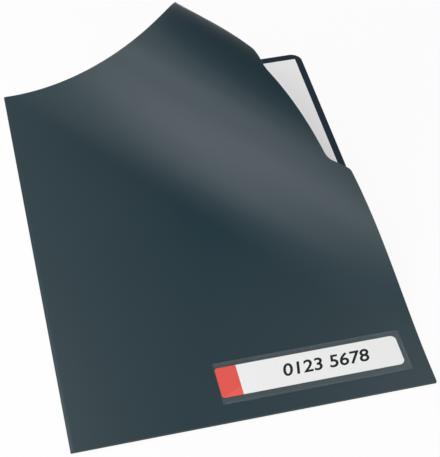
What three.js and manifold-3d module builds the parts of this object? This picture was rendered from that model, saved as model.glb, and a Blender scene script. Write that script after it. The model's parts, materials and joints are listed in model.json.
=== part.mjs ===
// An A4 folder of plastic sheet, lying on its back with its free front corner curled up and over.
// Millimetres. X runs along the welded bottom edge, Y from the weld to the open top, Z up off the table.
// The origin is the middle of the back cover's underside.
//
// One sheet is folded along the left edge and welded along the bottom, so it is open at the top and
// on the right. The front cover stays flat up to the first crease, next to the label. Beyond it the
// sheet bends: planar strips hinge along parallel creases, each turned a little further than the last.
import * as THREE from "three";
import * as BufferGeometryUtils from "three/addons/utils/BufferGeometryUtils.js";
import Module from "manifold-3d";

// Papers: two A4 sheets, the lower one a little further in
const PAPER_WIDTH = 210;
const PAPER_HEIGHT = 297;
const PAPER_THICKNESS = 0.1;
const PAPER_SHIFT = 1;
const SHEET_GAP = 0.2;

// Covers: one folded sheet, made to size round the upper paper
const PAPER_TO_FOLD = 5;
const PAPER_TO_OPEN_SIDE = 5;
const PAPER_TO_OPEN_TOP = 6.2;
const PAPER_TO_WELD = 6.8;
const COVER_THICKNESS = 0.3;
const FREE_CORNER_RADIUS = 8;
const WELDED_CORNER_RADIUS = 1.2;
const WELD_WIDTH = 2;

// Thumb notch in the front cover's open side, placed by its middle above the weld
const NOTCH_MIDDLE = 204;
const NOTCH_LENGTH = 100;
const NOTCH_DEPTH = 12;
const NOTCH_RAMP = 14;
const NOTCH_OUTER_RADIUS = 5;
const NOTCH_INNER_RADIUS = 10;

// Bend of the front cover: the first crease runs from the top edge to the open side
const FIRST_CREASE_FROM_FOLD = 9.2;
const FIRST_CREASE_FROM_WELD = 21.4;
const CREASE_COUNT = 16;
const CREASE_GAP = 0.3;
const BEND_RADIUS_ENDS = 77.4;
const BEND_RADIUS_MIDDLE = 61.4;
const BEND_SKEW = 1.525;
const STRAIGHTENING_TIP_SHARE = 0.1;

// Label card, placed from the open side and the weld, with a red band at its end nearer the fold
const LABEL_FROM_OPEN_SIDE = 14;
const LABEL_FROM_WELD = 17;
const LABEL_LENGTH = 113;
const LABEL_HEIGHT = 22;
const LABEL_THICKNESS = 0.2;
const LABEL_CORNER_RADIUS = 2;
const LABEL_BAND_LENGTH = 13;

// Clear pocket over the label, welded on three sides and open towards the fold
const POCKET_OPEN_MARGIN = 0.5;
const POCKET_END_MARGIN = 3;
const POCKET_TOP_MARGIN = 3.5;
const POCKET_BOTTOM_MARGIN = 5;
const POCKET_FILM_THICKNESS = 0.15;
const POCKET_SEAM_WIDTH = 1.5;
const POCKET_OPEN_CORNER_RADIUS = 0.8;
const POCKET_END_CORNER_RADIUS = 4;
const LABEL_GAP_BELOW = 0.15;
const LABEL_GAP_ABOVE = 0.2;
const SEAM_CREASE_CLEARANCE = 0.3;

// Longest turn of an arc between two of its points, in radians
const ARC_STEP = 0.2;

// Derived outline
const COVER_WIDTH = PAPER_TO_FOLD + PAPER_WIDTH + PAPER_TO_OPEN_SIDE;
const COVER_HEIGHT = PAPER_TO_WELD + PAPER_HEIGHT + PAPER_TO_OPEN_TOP;

// Derived heights
const DOCUMENT_GAP = 2 * PAPER_THICKNESS + 3 * SHEET_GAP;
const FRONT_BOTTOM = COVER_THICKNESS + DOCUMENT_GAP;
const FRONT_TOP = FRONT_BOTTOM + COVER_THICKNESS;
const FRONT_MIDDLE = FRONT_BOTTOM + COVER_THICKNESS / 2;
const FOLD_RADIUS = FRONT_TOP / 2;
const LABEL_BOTTOM = FRONT_TOP + LABEL_GAP_BELOW;
const FILM_BOTTOM = LABEL_BOTTOM + LABEL_THICKNESS + LABEL_GAP_ABOVE;

// Derived places, measured from the fold and the weld
const LABEL_RIGHT = COVER_WIDTH - LABEL_FROM_OPEN_SIDE;
const LABEL_LEFT = LABEL_RIGHT - LABEL_LENGTH;
const POCKET_LEFT = LABEL_LEFT - POCKET_OPEN_MARGIN;
const POCKET_RIGHT = LABEL_RIGHT + POCKET_END_MARGIN;
const POCKET_LOW = LABEL_FROM_WELD - POCKET_BOTTOM_MARGIN;
const POCKET_HIGH = LABEL_FROM_WELD + LABEL_HEIGHT + POCKET_TOP_MARGIN;

// The creases are parallel. A point's reach is its distance from the welded fold corner, square to them.
const CREASE_RUN = new THREE.Vector2(COVER_WIDTH - FIRST_CREASE_FROM_FOLD, FIRST_CREASE_FROM_WELD - COVER_HEIGHT);
const CREASE_AXIS = new THREE.Vector3(CREASE_RUN.x, CREASE_RUN.y, 0).normalize();
const REACH_DIRECTION = new THREE.Vector2(-CREASE_AXIS.y, CREASE_AXIS.x);
const FIRST_REACH = reachOf(FIRST_CREASE_FROM_FOLD, COVER_HEIGHT);
const TIP_REACH = reachOf(COVER_WIDTH, COVER_HEIGHT);
const CREASE_PITCH = (TIP_REACH - FIRST_REACH) / CREASE_COUNT;

const COVER_PLASTIC = { color: 0x3d4b52, roughness: 0.45, metalness: 0 };
const INSIDE_PLASTIC = { color: 0x1b2b3a, roughness: 0.5, metalness: 0 };
const CLEAR_FILM = { color: 0xc8d2d2, roughness: 0.25, metalness: 0, transparent: true, opacity: 0.3 };
const WHITE_CARD = { color: 0xf2f2f0, roughness: 0.7, metalness: 0 };
const RED_CARD = { color: 0xe25a50, roughness: 0.6, metalness: 0 };
const WHITE_PAPER = { color: 0xf0f0f0, roughness: 0.9, metalness: 0 };

const wasm = await Module();
wasm.setup();

function reachOf(fromFold, fromWeld) {
  return fromFold * REACH_DIRECTION.x + fromWeld * REACH_DIRECTION.y;
}

// A corner is [from fold, from weld, radius]; the outline runs anticlockwise
function roundedShape(corners) {
  const points = [];
  corners.forEach(([x, y, radius], i) => {
    const corner = new THREE.Vector2(x, y);
    if (radius === 0) {
      points.push(corner);
      return;
    }
    const [beforeX, beforeY] = corners[(i + corners.length - 1) % corners.length];
    const [afterX, afterY] = corners[(i + 1) % corners.length];
    const back = new THREE.Vector2(beforeX - x, beforeY - y).normalize();
    const ahead = new THREE.Vector2(afterX - x, afterY - y).normalize();
    const halfAngle = Math.acos(back.dot(ahead)) / 2;
    const start = corner.clone().addScaledVector(back, radius / Math.tan(halfAngle));
    const toCentre = back.clone().add(ahead).setLength(radius / Math.sin(halfAngle));
    const centre = corner.clone().add(toCentre);
    const sweep = (Math.PI - 2 * halfAngle) * Math.sign(ahead.cross(back));
    const arm = start.sub(centre);
    const steps = Math.max(3, Math.ceil(Math.abs(sweep) / ARC_STEP));
    for (let step = 0; step <= steps; step += 1) {
      points.push(arm.clone().rotateAround(new THREE.Vector2(), (sweep * step) / steps).add(centre));
    }
  });
  return new THREE.Shape(points);
}

// A flat slab of the outline, at its height, in the folder's own frame
function slab(corners, bottom, thickness) {
  const geometry = new THREE.ExtrudeGeometry(roundedShape(corners), { depth: thickness, bevelEnabled: false });
  return geometry.translate(-COVER_WIDTH / 2, -COVER_HEIGHT / 2, bottom);
}

function rectangle(left, low, right, high, radii) {
  return [
    [left, low, radii[0]],
    [right, low, radii[1]],
    [right, high, radii[2]],
    [left, high, radii[3]],
  ];
}

function asSolid(geometry) {
  const bare = geometry.clone();
  bare.deleteAttribute("normal");
  bare.deleteAttribute("uv");
  const merged = BufferGeometryUtils.mergeVertices(bare, 1e-5);
  return new wasm.Manifold(
    new wasm.Mesh({
      numProp: 3,
      vertProperties: new Float32Array(merged.attributes.position.array),
      triVerts: new Uint32Array(merged.index.array),
    }),
  );
}

function asGeometry(solid) {
  const { vertProperties, triVerts } = solid.getMesh();
  const geometry = new THREE.BufferGeometry();
  geometry.setAttribute("position", new THREE.BufferAttribute(vertProperties, 3));
  geometry.setIndex(new THREE.BufferAttribute(triVerts, 1));
  geometry.computeVertexNormals();
  return geometry;
}

function part(name, geometry, material) {
  const mesh = new THREE.Mesh(geometry, new THREE.MeshStandardMaterial(material));
  mesh.name = name;
  return mesh;
}

function backCover() {
  const outline = rectangle(FOLD_RADIUS, 0, COVER_WIDTH, COVER_HEIGHT, [
    0,
    WELDED_CORNER_RADIUS,
    FREE_CORNER_RADIUS,
    0,
  ]);
  return part("back_cover", slab(outline, 0, COVER_THICKNESS), INSIDE_PLASTIC);
}

// The sheet rolls over from the back cover to the front cover
function leftFold() {
  const inner = FOLD_RADIUS - COVER_THICKNESS;
  const roll = new THREE.Shape();
  roll.absarc(FOLD_RADIUS, FOLD_RADIUS, FOLD_RADIUS, Math.PI / 2, (3 * Math.PI) / 2, false);
  roll.absarc(FOLD_RADIUS, FOLD_RADIUS, inner, (3 * Math.PI) / 2, Math.PI / 2, true);
  const geometry = new THREE.ExtrudeGeometry(roll, { depth: COVER_HEIGHT, bevelEnabled: false, curveSegments: 10 });
  geometry.rotateX(Math.PI / 2);
  geometry.translate(-COVER_WIDTH / 2, COVER_HEIGHT / 2, 0);
  return part("left_fold", geometry, COVER_PLASTIC);
}

// The weld fills the space between the covers along the bottom
function bottomWeld() {
  const outline = rectangle(FOLD_RADIUS, 0, COVER_WIDTH - WELDED_CORNER_RADIUS, WELD_WIDTH, [0, 0, 0, 0]);
  return part("bottom_weld", slab(outline, COVER_THICKNESS, DOCUMENT_GAP), COVER_PLASTIC);
}

function frontOutline() {
  const notchLow = NOTCH_MIDDLE - NOTCH_LENGTH / 2;
  const notchHigh = NOTCH_MIDDLE + NOTCH_LENGTH / 2;
  const notchFloor = COVER_WIDTH - NOTCH_DEPTH;
  return [
    [FOLD_RADIUS, 0, 0],
    [COVER_WIDTH, 0, WELDED_CORNER_RADIUS],
    [COVER_WIDTH, notchLow, NOTCH_OUTER_RADIUS],
    [notchFloor, notchLow + NOTCH_RAMP, NOTCH_INNER_RADIUS],
    [notchFloor, notchHigh - NOTCH_RAMP, NOTCH_INNER_RADIUS],
    [COVER_WIDTH, notchHigh, NOTCH_OUTER_RADIUS],
    [COVER_WIDTH, COVER_HEIGHT, FREE_CORNER_RADIUS],
    [FOLD_RADIUS, COVER_HEIGHT, 0],
  ];
}

// All of the flat front cover whose reach lies between two values
function frontBetween(nearReach, farReach) {
  const half = COVER_WIDTH + COVER_HEIGHT;
  const corner = (reach, along) => [
    reach * REACH_DIRECTION.x + along * CREASE_AXIS.x,
    reach * REACH_DIRECTION.y + along * CREASE_AXIS.y,
    0,
  ];
  const outline = [
    corner(nearReach, half),
    corner(farReach, half),
    corner(farReach, -half),
    corner(nearReach, -half),
  ];
  const band = asSolid(slab(outline, FRONT_BOTTOM - COVER_THICKNESS, 3 * COVER_THICKNESS));
  return asSolid(slab(frontOutline(), FRONT_BOTTOM, COVER_THICKNESS)).intersect(band);
}

function frontCover() {
  const flat = frontBetween(-COVER_WIDTH, FIRST_REACH - CREASE_GAP / 2);
  return part("front_cover", asGeometry(flat), COVER_PLASTIC);
}

// How far the sheet turns at a crease: tightest past halfway, then straightening to the free corner
function creaseTurn(index) {
  const share = (index + 0.5) / (CREASE_COUNT + 0.5);
  const ends = 1 / BEND_RADIUS_ENDS;
  const middle = 1 / BEND_RADIUS_MIDDLE;
  const curvature = ends + (middle - ends) * Math.sin(Math.PI * share ** BEND_SKEW) ** 2;
  return CREASE_PITCH * curvature * Math.min(1, (1 - share) / STRAIGHTENING_TIP_SHARE);
}

// Each strip's group stands on its crease and carries the strips beyond it
function bentStrips() {
  const firstFoot = new THREE.Vector3(
    FIRST_REACH * REACH_DIRECTION.x - COVER_WIDTH / 2,
    FIRST_REACH * REACH_DIRECTION.y - COVER_HEIGHT / 2,
    FRONT_MIDDLE,
  );
  const pitchStep = new THREE.Vector3(REACH_DIRECTION.x, REACH_DIRECTION.y, 0).multiplyScalar(CREASE_PITCH);
  const first = new THREE.Group();
  let group = first;
  for (let index = 0; index < CREASE_COUNT; index += 1) {
    group.position.copy(index === 0 ? firstFoot : pitchStep);
    group.quaternion.setFromAxisAngle(CREASE_AXIS, creaseTurn(index));
    const near = FIRST_REACH + index * CREASE_PITCH + CREASE_GAP / 2;
    const flat = asGeometry(frontBetween(near, near + CREASE_PITCH - CREASE_GAP));
    const foot = firstFoot.clone().addScaledVector(pitchStep, index);
    flat.translate(-foot.x, -foot.y, -foot.z);
    const name = `front_strip_${String(index + 1).padStart(2, "0")}`;
    group.add(part(name, flat, COVER_PLASTIC));
    if (index < CREASE_COUNT - 1) {
      const next = new THREE.Group();
      group.add(next);
      group = next;
    }
  }
  return first;
}

function paperSheet(name, shift, bottom) {
  const right = COVER_WIDTH - PAPER_TO_OPEN_SIDE - shift;
  const high = COVER_HEIGHT - PAPER_TO_OPEN_TOP - shift;
  const outline = rectangle(right - PAPER_WIDTH, high - PAPER_HEIGHT, right, high, [0, 0, 0, 0]);
  return part(name, slab(outline, bottom, PAPER_THICKNESS), WHITE_PAPER);
}

function papers() {
  const lower = COVER_THICKNESS + SHEET_GAP;
  const upper = lower + PAPER_THICKNESS + SHEET_GAP;
  return [paperSheet("paper_lower", PAPER_SHIFT, lower), paperSheet("paper_upper", 0, upper)];
}

// The card's red end and its white writing field meet edge to edge
function labelCard() {
  const low = LABEL_FROM_WELD;
  const high = low + LABEL_HEIGHT;
  const bandEnd = LABEL_LEFT + LABEL_BAND_LENGTH;
  const radius = LABEL_CORNER_RADIUS;
  const band = rectangle(LABEL_LEFT, low, bandEnd, high, [radius, 0, 0, radius]);
  const field = rectangle(bandEnd, low, LABEL_RIGHT, high, [0, radius, radius, 0]);
  return [
    part("label_card_band", slab(band, LABEL_BOTTOM, LABEL_THICKNESS), RED_CARD),
    part("label_card", slab(field, LABEL_BOTTOM, LABEL_THICKNESS), WHITE_CARD),
  ];
}

function pocketFilm() {
  const open = POCKET_OPEN_CORNER_RADIUS;
  const end = POCKET_END_CORNER_RADIUS;
  const outline = rectangle(POCKET_LEFT, POCKET_LOW, POCKET_RIGHT, POCKET_HIGH, [open, end, end, open]);
  return part("label_pocket_film", slab(outline, FILM_BOTTOM, POCKET_FILM_THICKNESS), CLEAR_FILM);
}

// Three welded seams hold the film to the cover; they end short of the film's corners and the first crease
function pocketSeams() {
  const seam = POCKET_SEAM_WIDTH;
  const height = FILM_BOTTOM - FRONT_TOP;
  const limit = FIRST_REACH - CREASE_GAP / 2 - SEAM_CREASE_CLEARANCE;
  const topEnd = Math.min(
    POCKET_RIGHT - POCKET_END_CORNER_RADIUS,
    (limit - POCKET_HIGH * REACH_DIRECTION.y) / REACH_DIRECTION.x,
  );
  const endHigh = Math.min(
    POCKET_HIGH - POCKET_END_CORNER_RADIUS,
    (limit - POCKET_RIGHT * REACH_DIRECTION.x) / REACH_DIRECTION.y,
  );
  const square = [0, 0, 0, 0];
  const left = POCKET_LEFT + POCKET_OPEN_CORNER_RADIUS;
  const bottomEnd = POCKET_RIGHT - POCKET_END_CORNER_RADIUS;
  const endLow = POCKET_LOW + POCKET_END_CORNER_RADIUS;
  const top = rectangle(left, POCKET_HIGH - seam, topEnd, POCKET_HIGH, square);
  const bottom = rectangle(left, POCKET_LOW, bottomEnd, POCKET_LOW + seam, square);
  const end = rectangle(POCKET_RIGHT - seam, endLow, POCKET_RIGHT, endHigh, square);
  return [
    part("label_seam_top", slab(top, FRONT_TOP, height), CLEAR_FILM),
    part("label_seam_bottom", slab(bottom, FRONT_TOP, height), CLEAR_FILM),
    part("label_seam_end", slab(end, FRONT_TOP, height), CLEAR_FILM),
  ];
}

const folder = new THREE.Group();
folder.add(backCover(), leftFold(), bottomWeld(), frontCover(), bentStrips());
folder.add(...papers());
folder.add(...labelCard());
folder.add(pocketFilm(), ...pocketSeams());

export default folder;
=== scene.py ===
"""An A4 folder of thin plastic sheet with its front corner curled over, dressed for rendering."""

import json
import math
from collections import namedtuple

import bpy
import numpy as np
from bpy.props import FloatProperty, FloatVectorProperty, IntProperty, PointerProperty
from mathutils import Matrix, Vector

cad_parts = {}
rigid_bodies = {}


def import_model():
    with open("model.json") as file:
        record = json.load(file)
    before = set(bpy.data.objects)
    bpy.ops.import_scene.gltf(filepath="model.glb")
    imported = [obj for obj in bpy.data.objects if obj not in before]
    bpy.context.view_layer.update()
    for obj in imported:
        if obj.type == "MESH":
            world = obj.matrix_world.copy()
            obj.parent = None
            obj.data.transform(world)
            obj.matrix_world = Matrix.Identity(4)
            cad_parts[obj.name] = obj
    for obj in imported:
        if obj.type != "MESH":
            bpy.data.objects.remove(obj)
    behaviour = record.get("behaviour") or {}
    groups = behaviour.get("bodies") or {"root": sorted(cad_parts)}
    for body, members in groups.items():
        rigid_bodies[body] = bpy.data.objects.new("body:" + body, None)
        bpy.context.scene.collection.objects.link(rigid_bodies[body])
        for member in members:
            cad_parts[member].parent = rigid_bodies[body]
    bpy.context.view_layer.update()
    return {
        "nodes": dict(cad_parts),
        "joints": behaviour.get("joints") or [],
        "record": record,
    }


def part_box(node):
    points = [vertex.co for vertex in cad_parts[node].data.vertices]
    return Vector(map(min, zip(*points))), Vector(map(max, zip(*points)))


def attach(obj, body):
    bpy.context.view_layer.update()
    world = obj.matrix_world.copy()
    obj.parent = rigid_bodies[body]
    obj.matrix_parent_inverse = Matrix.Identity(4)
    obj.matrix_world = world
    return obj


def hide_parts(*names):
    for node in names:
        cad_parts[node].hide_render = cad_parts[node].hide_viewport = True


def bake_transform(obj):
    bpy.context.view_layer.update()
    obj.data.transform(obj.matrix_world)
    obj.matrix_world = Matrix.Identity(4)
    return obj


bl_info = {
    "name": "Plastic Document Folder",
    "version": (1, 0, 0),
    "blender": (4, 5, 0),
    "location": "3D View > Sidebar > Folder",
    "description": "Models and finishes an open plastic folder with papers and a name card",
    "category": "Object",
}

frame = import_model()

MM = 0.001
UP = Vector((0, 0, 1))
NEARLY = 0.01 * MM
CUT_PRECISION = 0.001 * MM

CARD_NUMBER = "0123 5678"
INK_DARK = (0.003, 0.005, 0.006)
INK_PALE = (0.009, 0.012, 0.014)

FLOOR_REACH = 20
FLOOR_DROP = 0.05 * MM
FLOOR_GREY = 0.8
FLOOR_WHITENESS = 0.9
ROOM_LIGHT = 0.27

Lamp = namedtuple("Lamp", "name place target width height watts")
LAMPS = (
    Lamp("front_softbox", (0.0, -0.7, 0.7), (0, 0, 0.02), 0.6, 0.6, 4.1),
    Lamp("left_softbox", (-0.66, 0.0, 0.33), (0, 0.04, 0.05), 0.5, 0.5, 0.7),
    Lamp("left_panel", (-0.45, 0.0, 0.42), (0, 0.05, 0.05), 0.5, 0.3, 0.95),
    Lamp("low_left_panel", (-0.88, 0.02, 0.17), (0, 0.03, 0.05), 0.5, 0.25, 0.75),
    Lamp("back_left_panel", (-0.3, 0.17, 0.5), (-0.3, 0.17, 0), 0.35, 0.25, 0.56),
    Lamp("back_strip", (-0.19, 0.4, 0.45), (-0.19, 0.4, 0), 0.24, 0.7, 0.32),
    Lamp("right_panel", (0.18, 0.02, 0.5), (0.18, 0.02, 0), 0.24, 0.24, 0.2),
    Lamp("far_right_panel", (0.36, 0.1, 0.5), (0.36, 0.1, 0), 0.24, 0.3, 0.5),
)

CAMERA_AZIMUTH = math.radians(-13.09)
CAMERA_ELEVATION = math.radians(47.38)
CAMERA_DISTANCE = 902.36 * MM
CAMERA_TARGET = Vector((12.64 * MM, -3.93 * MM, 0))
CAMERA_NEAREST = 0.01
SENSOR_WIDTH = 36
FOCAL_PIXELS = 1373.46
LONG_SIDE_PIXELS = 457


class Curl:
    """The front sheet's bend: a row of arcs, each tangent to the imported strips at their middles."""

    def __init__(self):
        hinges = [j for j in frame["joints"] if j["name"].startswith("corner_bend")]
        ratios = {c["joint"]: c["ratio"] for c in frame["record"]["behaviour"]["couplings"]}
        self.bodies = [hinges[0]["parent"]] + [j["child"] for j in hinges]
        self.feet = [Vector(j["pos_m"]) for j in hinges]
        self.along = Vector(hinges[0]["axis"]).normalized()
        self.out = UP.cross(self.along)
        self.pitch = (self.feet[1] - self.feet[0]).length
        first_turn = self.out.angle(self.feet[1] - self.feet[0])
        self.turns = [first_turn * ratios.get(j["name"], 1.0) for j in hinges]

    def mark(self, index):
        """Distance past the first crease, in the flat sheet, of the line midway before a crease."""
        return (index - 0.5) * self.pitch

    def line_point(self, distance):
        """A point of the flat sheet at a distance past the first crease."""
        return self.feet[0] + self.out * distance

    def headings(self, index):
        """The direction along the sheet and its upper normal just before a crease."""
        turned = sum(self.turns[:index])
        ahead = self.out * math.cos(turned) + UP * math.sin(turned)
        normal = UP * math.cos(turned) - self.out * math.sin(turned)
        return ahead, normal

    def middle(self, index):
        """The point of the bent sheet where the arc of a crease begins."""
        ahead, _ = self.headings(index)
        if index == len(self.turns):
            return self.feet[-1] + ahead * self.pitch / 2
        return self.feet[index] - ahead * self.pitch / 2

    def bend(self, obj, index):
        """Moves a flat piece's vertices on to the arc of a crease, or on to the straight tip."""
        ahead, normal = self.headings(index)
        start = self.middle(index)
        points = vertex_array(obj)
        local = points - np.array(self.feet[0])
        distance = local @ np.array(self.out) - self.mark(index)
        lift = local @ np.array(UP)
        sideways = local @ np.array(self.along)
        if index < len(self.turns):
            turn = self.turns[index]
            radius = self.pitch / 2 / math.tan(turn / 2)
            angle = distance / self.pitch * turn
            forward = (radius - lift) * np.sin(angle)
            upward = radius - (radius - lift) * np.cos(angle)
        else:
            forward = distance
            upward = lift
        base = np.array(start - self.along * (start - self.feet[0]).dot(self.along))
        bent = (base + np.outer(forward, ahead) + np.outer(upward, normal)
                + np.outer(sideways, self.along))
        obj.data.vertices.foreach_set("co", bent.astype(np.float32).ravel())
        obj.data.update()


CURL = Curl()


class FolderSizes(bpy.types.PropertyGroup):
    """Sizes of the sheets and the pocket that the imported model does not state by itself."""

    fold_round: FloatProperty(
        name="Fold Round", description="Width of the rounded left edge",
        default=2.2 * MM, unit="LENGTH")
    corner_radius: FloatProperty(
        name="Free Corner Radius", description="Rounding of the two free corners",
        default=8 * MM, unit="LENGTH")
    welded_radius: FloatProperty(
        name="Welded Corner Radius", description="Rounding at the weld's open end",
        default=0.8 * MM, unit="LENGTH")
    notch_middle: FloatProperty(
        name="Notch Middle", description="Height of the thumb notch above the weld",
        default=204 * MM, unit="LENGTH")
    notch_length: FloatProperty(
        name="Notch Length", description="Length of the thumb notch at its mouth",
        default=100 * MM, unit="LENGTH")
    notch_depth: FloatProperty(
        name="Notch Depth", description="Depth of the thumb notch",
        default=12 * MM, unit="LENGTH")
    notch_ramp: FloatProperty(
        name="Notch Ramp", description="Length over which the notch deepens",
        default=14 * MM, unit="LENGTH")
    notch_outer: FloatProperty(
        name="Notch Outer Radius", description="Rounding where the notch begins",
        default=5 * MM, unit="LENGTH")
    notch_inner: FloatProperty(
        name="Notch Inner Radius", description="Rounding at the notch's floor",
        default=10 * MM, unit="LENGTH")
    weld_start: FloatProperty(
        name="Weld Start", description="How far inside the rolled edge the weld begins",
        default=0.36 * MM, unit="LENGTH")
    weld_rounding: FloatProperty(
        name="Weld Rounding", description="Rounding of the melted weld's edges",
        default=0.12 * MM, unit="LENGTH")
    card_outer: FloatProperty(
        name="Card Outer Radius", description="Rounding of the card's white end",
        default=3.4 * MM, unit="LENGTH")
    card_inner: FloatProperty(
        name="Card Inner Radius", description="Rounding of the card's red end",
        default=2 * MM, unit="LENGTH")
    film_corner: FloatProperty(
        name="Film Corner Radius", description="Rounding of the pocket film's corners",
        default=0.6 * MM, unit="LENGTH")
    film_bend_corner: FloatProperty(
        name="Film Corner by the Bend", description="Rounding nearest the first crease",
        default=2 * MM, unit="LENGTH")
    digit_size: FloatProperty(
        name="Digit Size", description="Type size of the card's number",
        default=12.6 * MM, unit="LENGTH")
    digits_from_red: FloatProperty(
        name="Digits from Red", description="Middle of the number, from the red end",
        default=53 * MM, unit="LENGTH")
    digit_slant: FloatProperty(
        name="Digit Slant", description="How far the digits lean",
        default=0.18)
    digit_weight: FloatProperty(
        name="Digit Weight", description="How far the pen widens each stroke",
        default=0.22 * MM, unit="LENGTH")
    arc_steps: IntProperty(
        name="Arc Steps", description="Faces along the arc of each crease",
        default=6, min=2)


class FolderColours(bpy.types.PropertyGroup):
    """Colours of the finishes."""

    cover: FloatVectorProperty(
        name="Cover", description="Outside of the plastic sheet",
        default=(0.007, 0.028, 0.038), size=3, subtype="COLOR")
    # Painted shade: a darker copy of the cover's colour, standing in for the shade on the sheet's
    # inside. The back sheet wears it on both faces.
    inside: FloatVectorProperty(
        name="Inside", description="Inside of the plastic sheet",
        default=(0.002, 0.015, 0.030), size=3, subtype="COLOR")
    card: FloatVectorProperty(
        name="Card", description="Writing field of the name card",
        default=(0.82, 0.82, 0.82), size=3, subtype="COLOR")
    red: FloatVectorProperty(
        name="Red End", description="Printed end of the name card",
        default=(0.70, 0.078, 0.06), size=3, subtype="COLOR")
    paper: FloatVectorProperty(
        name="Paper", description="Loose sheets",
        default=(0.93, 0.93, 0.94), size=3, subtype="COLOR")
    film: FloatVectorProperty(
        name="Film", description="Clear pocket film",
        default=(0.70, 0.76, 0.77), size=3, subtype="COLOR")


def vertex_array(obj):
    """The vertices of a mesh as rows of numbers."""
    flat = np.empty(len(obj.data.vertices) * 3, np.float32)
    obj.data.vertices.foreach_get("co", flat)
    return flat.reshape(-1, 3).astype(float)


def choose(obj):
    """Makes one object the only selected one."""
    bpy.ops.object.select_all(action="DESELECT")
    obj.select_set(True)
    bpy.context.view_layer.objects.active = obj


def edit(obj):
    """Opens one object in edit mode with nothing selected."""
    choose(obj)
    bpy.ops.object.mode_set(mode="EDIT")
    bpy.ops.mesh.select_all(action="DESELECT")


def select_vertices(test):
    """Selects the active mesh's vertices that pass a test of their place, and counts them."""
    obj = bpy.context.edit_object
    bpy.ops.mesh.select_all(action="DESELECT")
    bpy.ops.object.mode_set(mode="OBJECT")
    for vertex in obj.data.vertices:
        vertex.select = bool(test(vertex.co))
    bpy.ops.object.mode_set(mode="EDIT")
    bpy.ops.mesh.select_mode(type="VERT")
    return sum(vertex.select for vertex in obj.data.vertices)


def near(value, goal):
    return abs(value - goal) < NEARLY


def leave_edit():
    bpy.ops.object.mode_set(mode="OBJECT")


def flat_plate(name, low, high, height):
    """A flat rectangle in the table's plane, its place in its mesh."""
    bpy.ops.object.select_all(action="DESELECT")
    bpy.ops.mesh.primitive_plane_add(size=1, location=(0, 0, 0))
    obj = bpy.context.object
    obj.name = name
    obj.data.name = name
    edit(obj)
    bpy.ops.mesh.select_all(action="SELECT")
    bpy.ops.transform.resize(value=(high[0] - low[0], high[1] - low[1], 1))
    middle = ((low[0] + high[0]) / 2, (low[1] + high[1]) / 2, height)
    bpy.ops.transform.translate(value=middle)
    leave_edit()
    return obj


def round_corner(place, tangent, steps):
    """Rounds the flat outline's corner at a place, from a tangent's length before it."""
    found = select_vertices(lambda co: near(co.x, place[0]) and near(co.y, place[1]))
    if found != 1:
        raise RuntimeError(f"{found} corners found at {place}")
    bpy.ops.mesh.bevel(offset=tangent, offset_type="OFFSET", segments=steps, affect="VERTICES",
                       clamp_overlap=False)


def bisect_all(point, normal, **options):
    """Cuts the whole active mesh along a plane."""
    bpy.ops.mesh.select_all(action="SELECT")
    bpy.ops.mesh.bisect(plane_co=point, plane_no=normal, threshold=CUT_PRECISION, **options)


def apply_modifier(obj, kind, **settings):
    choose(obj)
    modifier = obj.modifiers.new(kind.title(), kind)
    for key, value in settings.items():
        setattr(modifier, key, value)
    bpy.ops.object.modifier_apply(modifier=modifier.name)


def thicken(obj, thickness):
    """Gives a sheet its thickness, half of it to each side."""
    apply_modifier(obj, "SOLIDIFY", thickness=thickness, offset=0.0, use_even_offset=True)


def smooth(obj, degrees=35):
    """Shades a piece smooth except at edges sharper than an angle."""
    choose(obj)
    bpy.ops.object.shade_smooth_by_angle(angle=math.radians(degrees))


def point_outwards(obj):
    edit(obj)
    bpy.ops.mesh.select_all(action="SELECT")
    bpy.ops.mesh.normals_make_consistent(inside=False)
    leave_edit()


def copy_piece(obj, name):
    """A copy with its own mesh."""
    twin = obj.copy()
    twin.data = obj.data.copy()
    twin.name = name
    twin.data.name = name
    bpy.context.scene.collection.objects.link(twin)
    return twin


class Socket:
    """A link in a material. Arithmetic on it adds Math nodes."""

    def __init__(self, shader, output):
        self.shader = shader
        self.output = output

    def math(self, operation, *others):
        values = dict(enumerate((self, *others)))
        return self.shader.node("ShaderNodeMath", {"operation": operation}, values)[0]

    def __add__(self, other):
        return self.math("ADD", other)

    def __mul__(self, other):
        return self.math("MULTIPLY", other)

    def __sub__(self, other):
        return self.math("SUBTRACT", other)

    def __rsub__(self, other):
        values = {0: other, 1: self}
        return self.shader.node("ShaderNodeMath", {"operation": "SUBTRACT"}, values)[0]

    __radd__ = __add__
    __rmul__ = __mul__


class Outputs:
    """The outputs of one node, by name or by number."""

    def __init__(self, shader, node):
        self.shader = shader
        self.all = node.outputs

    def __getitem__(self, key):
        return Socket(self.shader, self.all[key])


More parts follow.
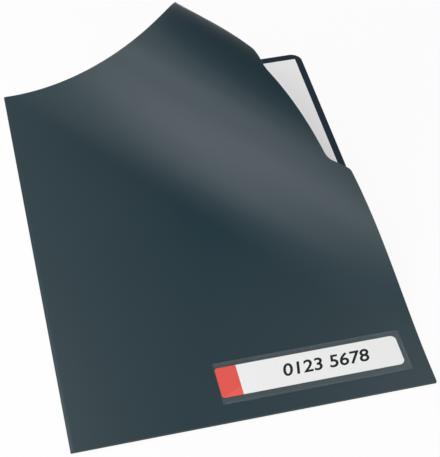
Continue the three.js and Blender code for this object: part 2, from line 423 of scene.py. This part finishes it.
class Shader:
    """One material, written as expressions."""

    def __init__(self, name):
        self.material = bpy.data.materials.new(name)
        self.material.use_nodes = True
        self.tree = self.material.node_tree
        self.tree.nodes.clear()

    def node(self, kind, settings, inputs):
        """Adds a node: its settings first, then the values or links of its sockets."""
        node = self.tree.nodes.new(kind)
        for key, value in settings.items():
            setattr(node, key, value)
        for key, value in inputs.items():
            if isinstance(value, Socket):
                self.tree.links.new(value.output, node.inputs[key])
            else:
                node.inputs[key].default_value = value
        return Outputs(self, node)

    def place(self):
        """Where a point of the surface is, in the piece's own frame."""
        return self.node("ShaderNodeTexCoord", {}, {})["Object"]

    def noise(self, waves, detail):
        """Soft grain, from 0 to 1, with so many waves to the metre."""
        inputs = {"Vector": self.place(), "Scale": waves, "Detail": detail}
        return self.node("ShaderNodeTexNoise", {}, inputs)["Fac"]

    def tint(self, factor, low, high):
        """A colour between two, by a factor."""
        inputs = {0: factor, 6: (*low, 1), 7: (*high, 1)}
        return self.node("ShaderNodeMix", {"data_type": "RGBA"}, inputs)[2]

    def inside(self, low, high, radius):
        """1 inside a rectangle with rounded corners in the table's plane, and 0 outside it."""
        middle = ((low.x + high.x) / 2, (low.y + high.y) / 2, 0)
        straight = ((high.x - low.x) / 2 - radius, (high.y - low.y) / 2 - radius, 1)
        centred = self.vector("SUBTRACT", self.place(), middle)
        folded = self.vector("ABSOLUTE", centred)
        beyond = self.vector("MAXIMUM", self.vector("SUBTRACT", folded, straight), (0, 0, 0))
        distance = self.vector("LENGTH", beyond, output="Value")
        return distance.math("LESS_THAN", radius)

    def vector(self, operation, *values, output="Vector"):
        inputs = dict(enumerate(values))
        return self.node("ShaderNodeVectorMath", {"operation": operation}, inputs)[output]

    def bump(self, height, distance, strength):
        """A normal that follows a relief of a height, given in metres."""
        inputs = {"Height": height, "Distance": distance, "Strength": strength}
        return self.node("ShaderNodeBump", {}, inputs)["Normal"]

    def surface(self, inputs):
        """Ends the material in a Principled surface."""
        principled = self.node("ShaderNodeBsdfPrincipled", {}, inputs)
        self.node("ShaderNodeOutputMaterial", {}, {"Surface": principled["BSDF"]})
        return self.material


def shade(colour, factor):
    """A darker or lighter colour."""
    return tuple(min(1.0, channel * factor) for channel in colour)


def around(grain, middle, spread):
    """A value that the grain moves about its middle, by half the spread each way."""
    return grain * spread + (middle - spread / 2)


def sheet_plastic(name, colour, rough):
    """Satin polypropylene sheet: a fine pressed grain and a faint clouding from the rolling."""
    shader = Shader(name)
    clouds = shader.noise(waves=14, detail=3.0)
    grain = shader.noise(waves=2600, detail=1.0)
    return shader.surface({
        "Base Color": shader.tint(clouds, shade(colour, 0.93), shade(colour, 1.07)),
        "Roughness": around(clouds, rough, spread=0.05),
        "IOR": 1.49,
        "Sheen Weight": 0.2,
        "Sheen Roughness": 0.3,
        "Normal": shader.bump(grain, distance=0.004 * MM, strength=0.15),
    })


def film_plastic(name, colour, haze, clear_over=None):
    """Clear soft film. It looks hazy where it lies on the plastic, and clear over the card."""
    shader = Shader(name)
    streaks = shader.noise(waves=220, detail=2.0)
    cloudy = around(streaks, haze, spread=0.02)
    if clear_over:
        wetted = shader.inside(*clear_over, radius=2.6 * MM)
        cloudy = cloudy * (1 - wetted * 0.85)
    return shader.surface({
        "Base Color": (*colour, 1),
        "Roughness": around(streaks, 0.25, spread=0.1),
        "IOR": 1.46,
        "Alpha": cloudy,
        "Normal": shader.bump(streaks, distance=0.01 * MM, strength=0.3),
    })


def paper_finish(name, colour, grain_size, rough):
    """Uncoated paper or card with short fibres."""
    shader = Shader(name)
    fibres = shader.noise(waves=1 / grain_size, detail=3.0)
    return shader.surface({
        "Base Color": shader.tint(fibres, shade(colour, 0.97), shade(colour, 1.02)),
        "Roughness": around(fibres, rough, spread=0.08),
        "IOR": 1.4,
        "Normal": shader.bump(fibres, distance=0.02 * MM, strength=0.25),
    })


def painted_highlight_red_finish(name, colour, corner, slope):
    """Printed card end, with a painted highlight: a little lighter on one side of a faint diagonal
    crease line from one corner.
    """
    shader = Shader(name)
    place = shader.node("ShaderNodeSeparateXYZ", {}, {0: shader.place()})
    crease = (place["X"] - corner.x) * slope
    # Painted highlight: 1 on the lightened side of the crease line. It stands in for light caught by
    # a creased card, which is modelled flat.
    painted_highlight_mask = (crease - (place["Y"] - corner.y)).math("GREATER_THAN", 0.0)
    fibres = shader.noise(waves=800, detail=2.0)
    return shader.surface({
        # The lighter red is painted highlight, mixed with the card's own fibre grain.
        "Base Color": shader.tint(painted_highlight_mask * 0.7 + fibres * 0.3, colour, shade(colour, 1.2)),
        "Roughness": around(fibres, 0.5, spread=0.08),
        "IOR": 1.4,
    })


def ink_finish(name):
    """Black marker ink, a little uneven."""
    shader = Shader(name)
    wet = shader.noise(waves=900, detail=1.0)
    return shader.surface({
        "Base Color": shader.tint(wet, INK_DARK, INK_PALE),
        "Roughness": around(wet, 0.6, spread=0.2),
        "Specular IOR Level": 0.15,
    })


def finish(obj, material, body=None):
    """Gives a piece its material, its slot and, where it rides on one body, that body."""
    obj.data.materials.clear()
    obj.data.materials.append(material)
    if body:
        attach(obj, body)


def sizes():
    return bpy.context.scene.folder_sizes


def colours():
    return bpy.context.scene.folder_colours


def cover_material():
    """The outside's finish, made once and shared."""
    name = "satin_cover"
    return bpy.data.materials.get(name) or sheet_plastic(name, colours().cover, rough=0.38)


class FOLDER_OT_front_sheet(bpy.types.Operator):
    """Model the front sheet: its rolled left edge, thumb notch and curled corner"""

    bl_idname = "folder.front_sheet"
    bl_label = "Front Sheet"

    def execute(self, context):
        flat = self.outlined()
        self.cut_arcs(flat)
        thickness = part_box("front_cover")[1].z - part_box("front_cover")[0].z
        thicken(flat, thickness)
        for index in range(len(CURL.turns) + 1):
            self.curled_piece(flat, index)
        self.flat_piece(flat)
        return {"FINISHED"}

    def outlined(self):
        """The sheet laid out flat, with its notch and its rounded corners."""
        size = sizes()
        low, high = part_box("back_cover")
        low.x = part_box("left_fold")[0].x + size.fold_round
        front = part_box("front_cover")
        height = (front[0].z + front[1].z) / 2
        sheet = flat_plate("front_sheet_flat", low, high, height)
        half = size.notch_length / 2
        middle = low.y + size.notch_middle
        mouth = (middle - half, middle + half)
        floor = (mouth[0] + size.notch_ramp, mouth[1] - size.notch_ramp)
        margin = MM
        edit(sheet)
        for place in (*mouth, *floor):
            bisect_all((0, place, 0), (0, 1, 0))
        select_vertices(lambda co: near(co.x, high.x)
                        and floor[0] - margin < co.y < floor[1] + margin)
        bpy.ops.transform.translate(value=(-size.notch_depth, 0, 0))
        bpy.ops.mesh.select_all(action="SELECT")
        bpy.ops.mesh.dissolve_limited(angle_limit=math.radians(1))
        tangent = math.tan(math.atan2(size.notch_depth, size.notch_ramp) / 2)
        for place in mouth:
            round_corner((high.x, place), size.notch_outer * tangent, steps=6)
        for place in floor:
            round_corner((high.x - size.notch_depth, place), size.notch_inner * tangent, steps=8)
        round_corner((high.x, high.y), size.corner_radius, steps=14)
        round_corner((high.x, low.y), size.welded_radius, steps=5)
        leave_edit()
        return sheet

    def cut_arcs(self, sheet):
        """Cuts the flat sheet across its bend, close beside each boundary and evenly between."""
        steps = sizes().arc_steps
        beside = 0.05 * MM
        edit(sheet)
        for index in range(len(CURL.turns) + 1):
            mark = CURL.mark(index)
            stops = [mark - beside, mark + beside]
            if index < len(CURL.turns):
                stops += [mark + CURL.pitch * step / steps for step in range(1, steps)]
            for stop in stops:
                bisect_all(CURL.line_point(stop), CURL.out)
        leave_edit()

    def curled_piece(self, flat, index):
        """The stretch across one crease, or the tip past the last one."""
        last = index == len(CURL.turns)
        name = "front_sheet_tip" if last else f"front_sheet_bend_{index + 1:02d}"
        piece = copy_piece(flat, name)
        edit(piece)
        start = CURL.line_point(CURL.mark(index))
        bisect_all(start, CURL.out, use_fill=True, clear_inner=True)
        if not last:
            end = CURL.line_point(CURL.mark(index + 1))
            bisect_all(end, CURL.out, use_fill=True, clear_outer=True)
        leave_edit()
        CURL.bend(piece, index)
        smooth(piece)
        if last:
            finish(piece, cover_material(), CURL.bodies[index])
            return
        finish(piece, cover_material())
        CURL.middle(index)
        CURL.middle(index + 1)
        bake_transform(piece)
        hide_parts(f"front_strip_{index + 1:02d}")

    def flat_piece(self, sheet):
        """The flat stretch, with the roll of the left edge added to it."""
        edit(sheet)
        bisect_all(CURL.line_point(CURL.mark(0)), CURL.out, use_fill=True, clear_outer=True)
        leave_edit()
        smooth(sheet)
        finish(sheet, cover_material(), "folder")
        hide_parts("front_cover")
        self.rolled_edge()

    def rolled_edge(self):
        """The sheet's left edge: a gentle shoulder above, a tight turn below."""
        size = sizes()
        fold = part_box("left_fold")
        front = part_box("front_cover")
        thickness = front[1].z - front[0].z
        radius = (fold[1].z - fold[0].z - thickness) / 2
        shoulder = size.fold_round - thickness / 2
        middle = (fold[0].z + fold[1].z) / 2
        outer = fold[0].x + thickness / 2
        steps = 9
        angles = [math.pi / 2 * step / steps for step in range(steps + 1)]
        profile = [(outer + shoulder * (1 - math.sin(angle)), middle + radius * math.cos(angle))
                   for angle in angles]
        profile += [(outer + radius * (1 - math.cos(angle)), middle - radius * math.sin(angle))
                    for angle in angles[1:]]
        width = MM
        x, z = profile[0]
        roll = flat_plate("rolled_left_edge", (x, fold[0].y), (x + width, fold[1].y), z)
        edit(roll)
        select_vertices(lambda co: co.x > x + width / 2)
        bpy.ops.mesh.delete(type="VERT")
        bpy.ops.mesh.select_all(action="SELECT")
        for before, after in zip(profile, profile[1:]):
            step = (after[0] - before[0], 0, after[1] - before[1])
            bpy.ops.mesh.extrude_region_move(TRANSFORM_OT_translate={"value": step})
        leave_edit()
        thicken(roll, thickness)
        point_outwards(roll)
        smooth(roll, degrees=45)
        finish(roll, cover_material(), "folder")
        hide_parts("left_fold")


class FOLDER_OT_back_sheet(bpy.types.Operator):
    """Model the back sheet with its rounded free corner, and the weld along the bottom"""

    bl_idname = "folder.back_sheet"
    bl_label = "Back Sheet and Weld"

    def execute(self, context):
        size = sizes()
        low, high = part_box("back_cover")
        # The back sheet's finish is the cover's satin plastic in a darker colour: painted shade for
        # its inside lying in shadow.
        inside = sheet_plastic("satin_inside_painted_shade", colours().inside, rough=0.36)
        sheet = flat_plate("back_sheet", low, high, (low.z + high.z) / 2)
        edit(sheet)
        round_corner((high.x, high.y), size.corner_radius, steps=14)
        round_corner((high.x, low.y), size.welded_radius, steps=5)
        leave_edit()
        thicken(sheet, high.z - low.z)
        smooth(sheet)
        finish(sheet, inside, "folder")
        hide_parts("back_cover")
        self.weld()
        return {"FINISHED"}

    def weld(self):
        """The weld runs into the rolled edge, so that the corner is closed."""
        size = sizes()
        low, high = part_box("bottom_weld")
        start = (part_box("left_fold")[0].x + size.weld_start, low.y)
        weld = flat_plate("bottom_weld_bead", start, high, (low.z + high.z) / 2)
        edit(weld)
        round_corner((high.x, low.y), size.welded_radius, steps=5)
        leave_edit()
        thicken(weld, high.z - low.z)
        apply_modifier(weld, "BEVEL", width=size.weld_rounding, segments=2, limit_method="ANGLE")
        smooth(weld)
        finish(weld, cover_material(), "folder")
        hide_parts("bottom_weld")


class FOLDER_OT_papers(bpy.types.Operator):
    """Finish the loose sheets of paper"""

    bl_idname = "folder.papers"
    bl_label = "Papers"

    def execute(self, context):
        paper = paper_finish("office_paper", colours().paper, grain_size=1.5 * MM, rough=0.8)
        for name in ("paper_lower", "paper_upper"):
            finish(frame["nodes"][name], paper)
        return {"FINISHED"}


class FOLDER_OT_label(bpy.types.Operator):
    """Model the name card with its printed end and number, and finish the clear pocket"""

    bl_idname = "folder.label"
    bl_label = "Name Card and Pocket"

    def execute(self, context):
        tint = colours()
        size = sizes()
        card_box = (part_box("label_card_band")[0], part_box("label_card")[1])
        card = paper_finish("white_card", tint.card, grain_size=1.2 * MM, rough=0.6)
        # The red end's finish carries a painted highlight on one side of its crease line.
        red = painted_highlight_red_finish("painted_highlight_red_print", tint.red, corner=card_box[0], slope=0.5)
        film = film_plastic("pocket_film", tint.film, haze=0.026, clear_over=card_box)
        seam = film_plastic("pocket_seam", tint.film, haze=0.03)
        self.card_part("name_card_field", "label_card", card, "white_card",
                       "right", size.card_outer)
        self.card_part("name_card_red_end", "label_card_band", red, "red_card",
                       "left", size.card_inner)
        self.number(ink_finish("marker_ink"))
        self.pocket(film)
        for side in ("top", "bottom", "end"):
            finish(frame["nodes"][f"label_seam_{side}"], seam)
        return {"FINISHED"}

    def card_part(self, name, node, material, slot, side, radius):
        """One end of the card, with the two corners on one side rounded."""
        low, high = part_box(node)
        part = flat_plate(name, low, high, (low.z + high.z) / 2)
        edge = high.x if side == "right" else low.x
        edit(part)
        for height in (low.y, high.y):
            round_corner((edge, height), radius, steps=8)
        leave_edit()
        thicken(part, high.z - low.z)
        smooth(part)
        finish(part, material, "name_card")
        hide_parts(node)

    def pocket(self, film):
        """The clear film, cut almost square, but rounder near the bend to clear the cover there."""
        size = sizes()
        low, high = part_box("label_pocket_film")
        sheet = flat_plate("pocket_film_sheet", low, high, (low.z + high.z) / 2)
        edit(sheet)
        for corner in ((low.x, low.y), (high.x, low.y), (low.x, high.y)):
            round_corner(corner, size.film_corner, steps=4)
        round_corner((high.x, high.y), size.film_bend_corner, steps=5)
        leave_edit()
        thicken(sheet, high.z - low.z)
        finish(sheet, film, "folder")
        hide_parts("label_pocket_film")

    def number(self, ink):
        """A plain number written across the card."""
        size = sizes()
        low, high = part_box("label_card")
        lift = 0.01 * MM
        bpy.ops.object.select_all(action="DESELECT")
        bpy.ops.object.text_add(location=(0, 0, 0))
        text = bpy.context.object
        text.name = "name_card_number"
        text.data.body = CARD_NUMBER
        text.data.size = size.digit_size
        text.data.shear = size.digit_slant
        text.data.offset = size.digit_weight
        text.data.resolution_u = 6
        text.data.align_x = "CENTER"
        text.data.align_y = "CENTER"
        bpy.ops.object.convert(target="MESH")
        number = bpy.context.object
        number.data.name = "name_card_number"
        edit(number)
        bpy.ops.mesh.select_all(action="SELECT")
        place = (low.x + size.digits_from_red, (low.y + high.y) / 2, high.z + lift)
        bpy.ops.transform.translate(value=place)
        leave_edit()
        finish(number, ink, body="name_card")


class FOLDER_OT_stage(bpy.types.Operator):
    """Set the pale floor, the soft studio light and the camera"""

    bl_idname = "folder.stage"
    bl_label = "Stage"

    def execute(self, context):
        self.floor()
        self.world()
        self.lights()
        self.camera()
        context.scene.view_settings.view_transform = "Standard"
        return {"FINISHED"}

    def floor(self):
        """A pale plate, almost white to the camera and in reflections. It keeps the shadow."""
        reach = FLOOR_REACH
        plate = flat_plate("floor", (-reach, -reach), (reach, reach), -FLOOR_DROP)
        shader = Shader("pale_floor")
        rays = shader.node("ShaderNodeLightPath", {}, {})
        seen = (rays["Is Camera Ray"] + rays["Is Glossy Ray"]) + rays["Is Transmission Ray"]
        share = seen.math("MINIMUM", 1.0) * FLOOR_WHITENESS
        grey = {"Color": (FLOOR_GREY, FLOOR_GREY, FLOOR_GREY, 1)}
        plain = shader.node("ShaderNodeBsdfDiffuse", {}, grey)["BSDF"]
        white = {"Color": (1, 1, 1, 1), "Strength": 1.0}
        glow = shader.node("ShaderNodeEmission", {}, white)["Emission"]
        mixed = shader.node("ShaderNodeMixShader", {}, {0: share, 1: plain, 2: glow})["Shader"]
        shader.node("ShaderNodeOutputMaterial", {}, {"Surface": mixed})
        plate.data.materials.append(shader.material)

    def world(self):
        world = bpy.data.worlds.new("soft_room")
        world.use_nodes = True
        background = world.node_tree.nodes["Background"]
        background.inputs["Color"].default_value = (1, 1, 1, 1)
        background.inputs["Strength"].default_value = ROOM_LIGHT
        bpy.context.scene.world = world

    def lights(self):
        for lamp in LAMPS:
            data = bpy.data.lights.new(lamp.name, "AREA")
            data.shape = "RECTANGLE"
            data.size = lamp.width
            data.size_y = lamp.height
            data.energy = lamp.watts
            obj = self.aimed(lamp.name, data, Vector(lamp.place), Vector(lamp.target))
            obj.visible_camera = False

    def camera(self):
        """A long lens, above the welded edge and a little to its left."""
        level = math.cos(CAMERA_ELEVATION)
        ahead = Vector((-math.sin(CAMERA_AZIMUTH) * level, math.cos(CAMERA_AZIMUTH) * level,
                        -math.sin(CAMERA_ELEVATION)))
        data = bpy.data.cameras.new("camera")
        data.sensor_width = SENSOR_WIDTH
        data.lens = SENSOR_WIDTH * FOCAL_PIXELS / LONG_SIDE_PIXELS
        data.clip_start = CAMERA_NEAREST
        place = CAMERA_TARGET - ahead * CAMERA_DISTANCE
        bpy.context.scene.camera = self.aimed("camera", data, place, CAMERA_TARGET)

    def aimed(self, name, data, place, target):
        """A lamp or camera at a place, turned towards a target."""
        obj = bpy.data.objects.new(name, data)
        bpy.context.scene.collection.objects.link(obj)
        obj.location = place
        obj.rotation_euler = (target - place).to_track_quat("-Z", "Y").to_euler()
        return obj


OPERATORS = (
    FOLDER_OT_front_sheet,
    FOLDER_OT_back_sheet,
    FOLDER_OT_papers,
    FOLDER_OT_label,
    FOLDER_OT_stage,
)


class FOLDER_PT_panel(bpy.types.Panel):
    """Lists the folder's sizes, colours and operators"""

    bl_label = "Plastic Folder"
    bl_idname = "FOLDER_PT_panel"
    bl_space_type = "VIEW_3D"
    bl_region_type = "UI"
    bl_category = "Folder"

    def draw(self, context):
        for group in (context.scene.folder_sizes, context.scene.folder_colours):
            for name in type(group).__annotations__:
                self.layout.prop(group, name)
        for operator in OPERATORS:
            self.layout.operator(operator.bl_idname)


CLASSES = (FolderSizes, FolderColours, *OPERATORS, FOLDER_PT_panel)


def register():
    for item in CLASSES:
        bpy.utils.register_class(item)
    bpy.types.Scene.folder_sizes = PointerProperty(type=FolderSizes)
    bpy.types.Scene.folder_colours = PointerProperty(type=FolderColours)


def unregister():
    del bpy.types.Scene.folder_colours
    del bpy.types.Scene.folder_sizes
    for item in reversed(CLASSES):
        bpy.utils.unregister_class(item)


def main():
    register()
    bpy.ops.folder.front_sheet()
    bpy.ops.folder.back_sheet()
    bpy.ops.folder.papers()
    bpy.ops.folder.label()
    bpy.ops.folder.stage()


if __name__ == "__main__":
    main()
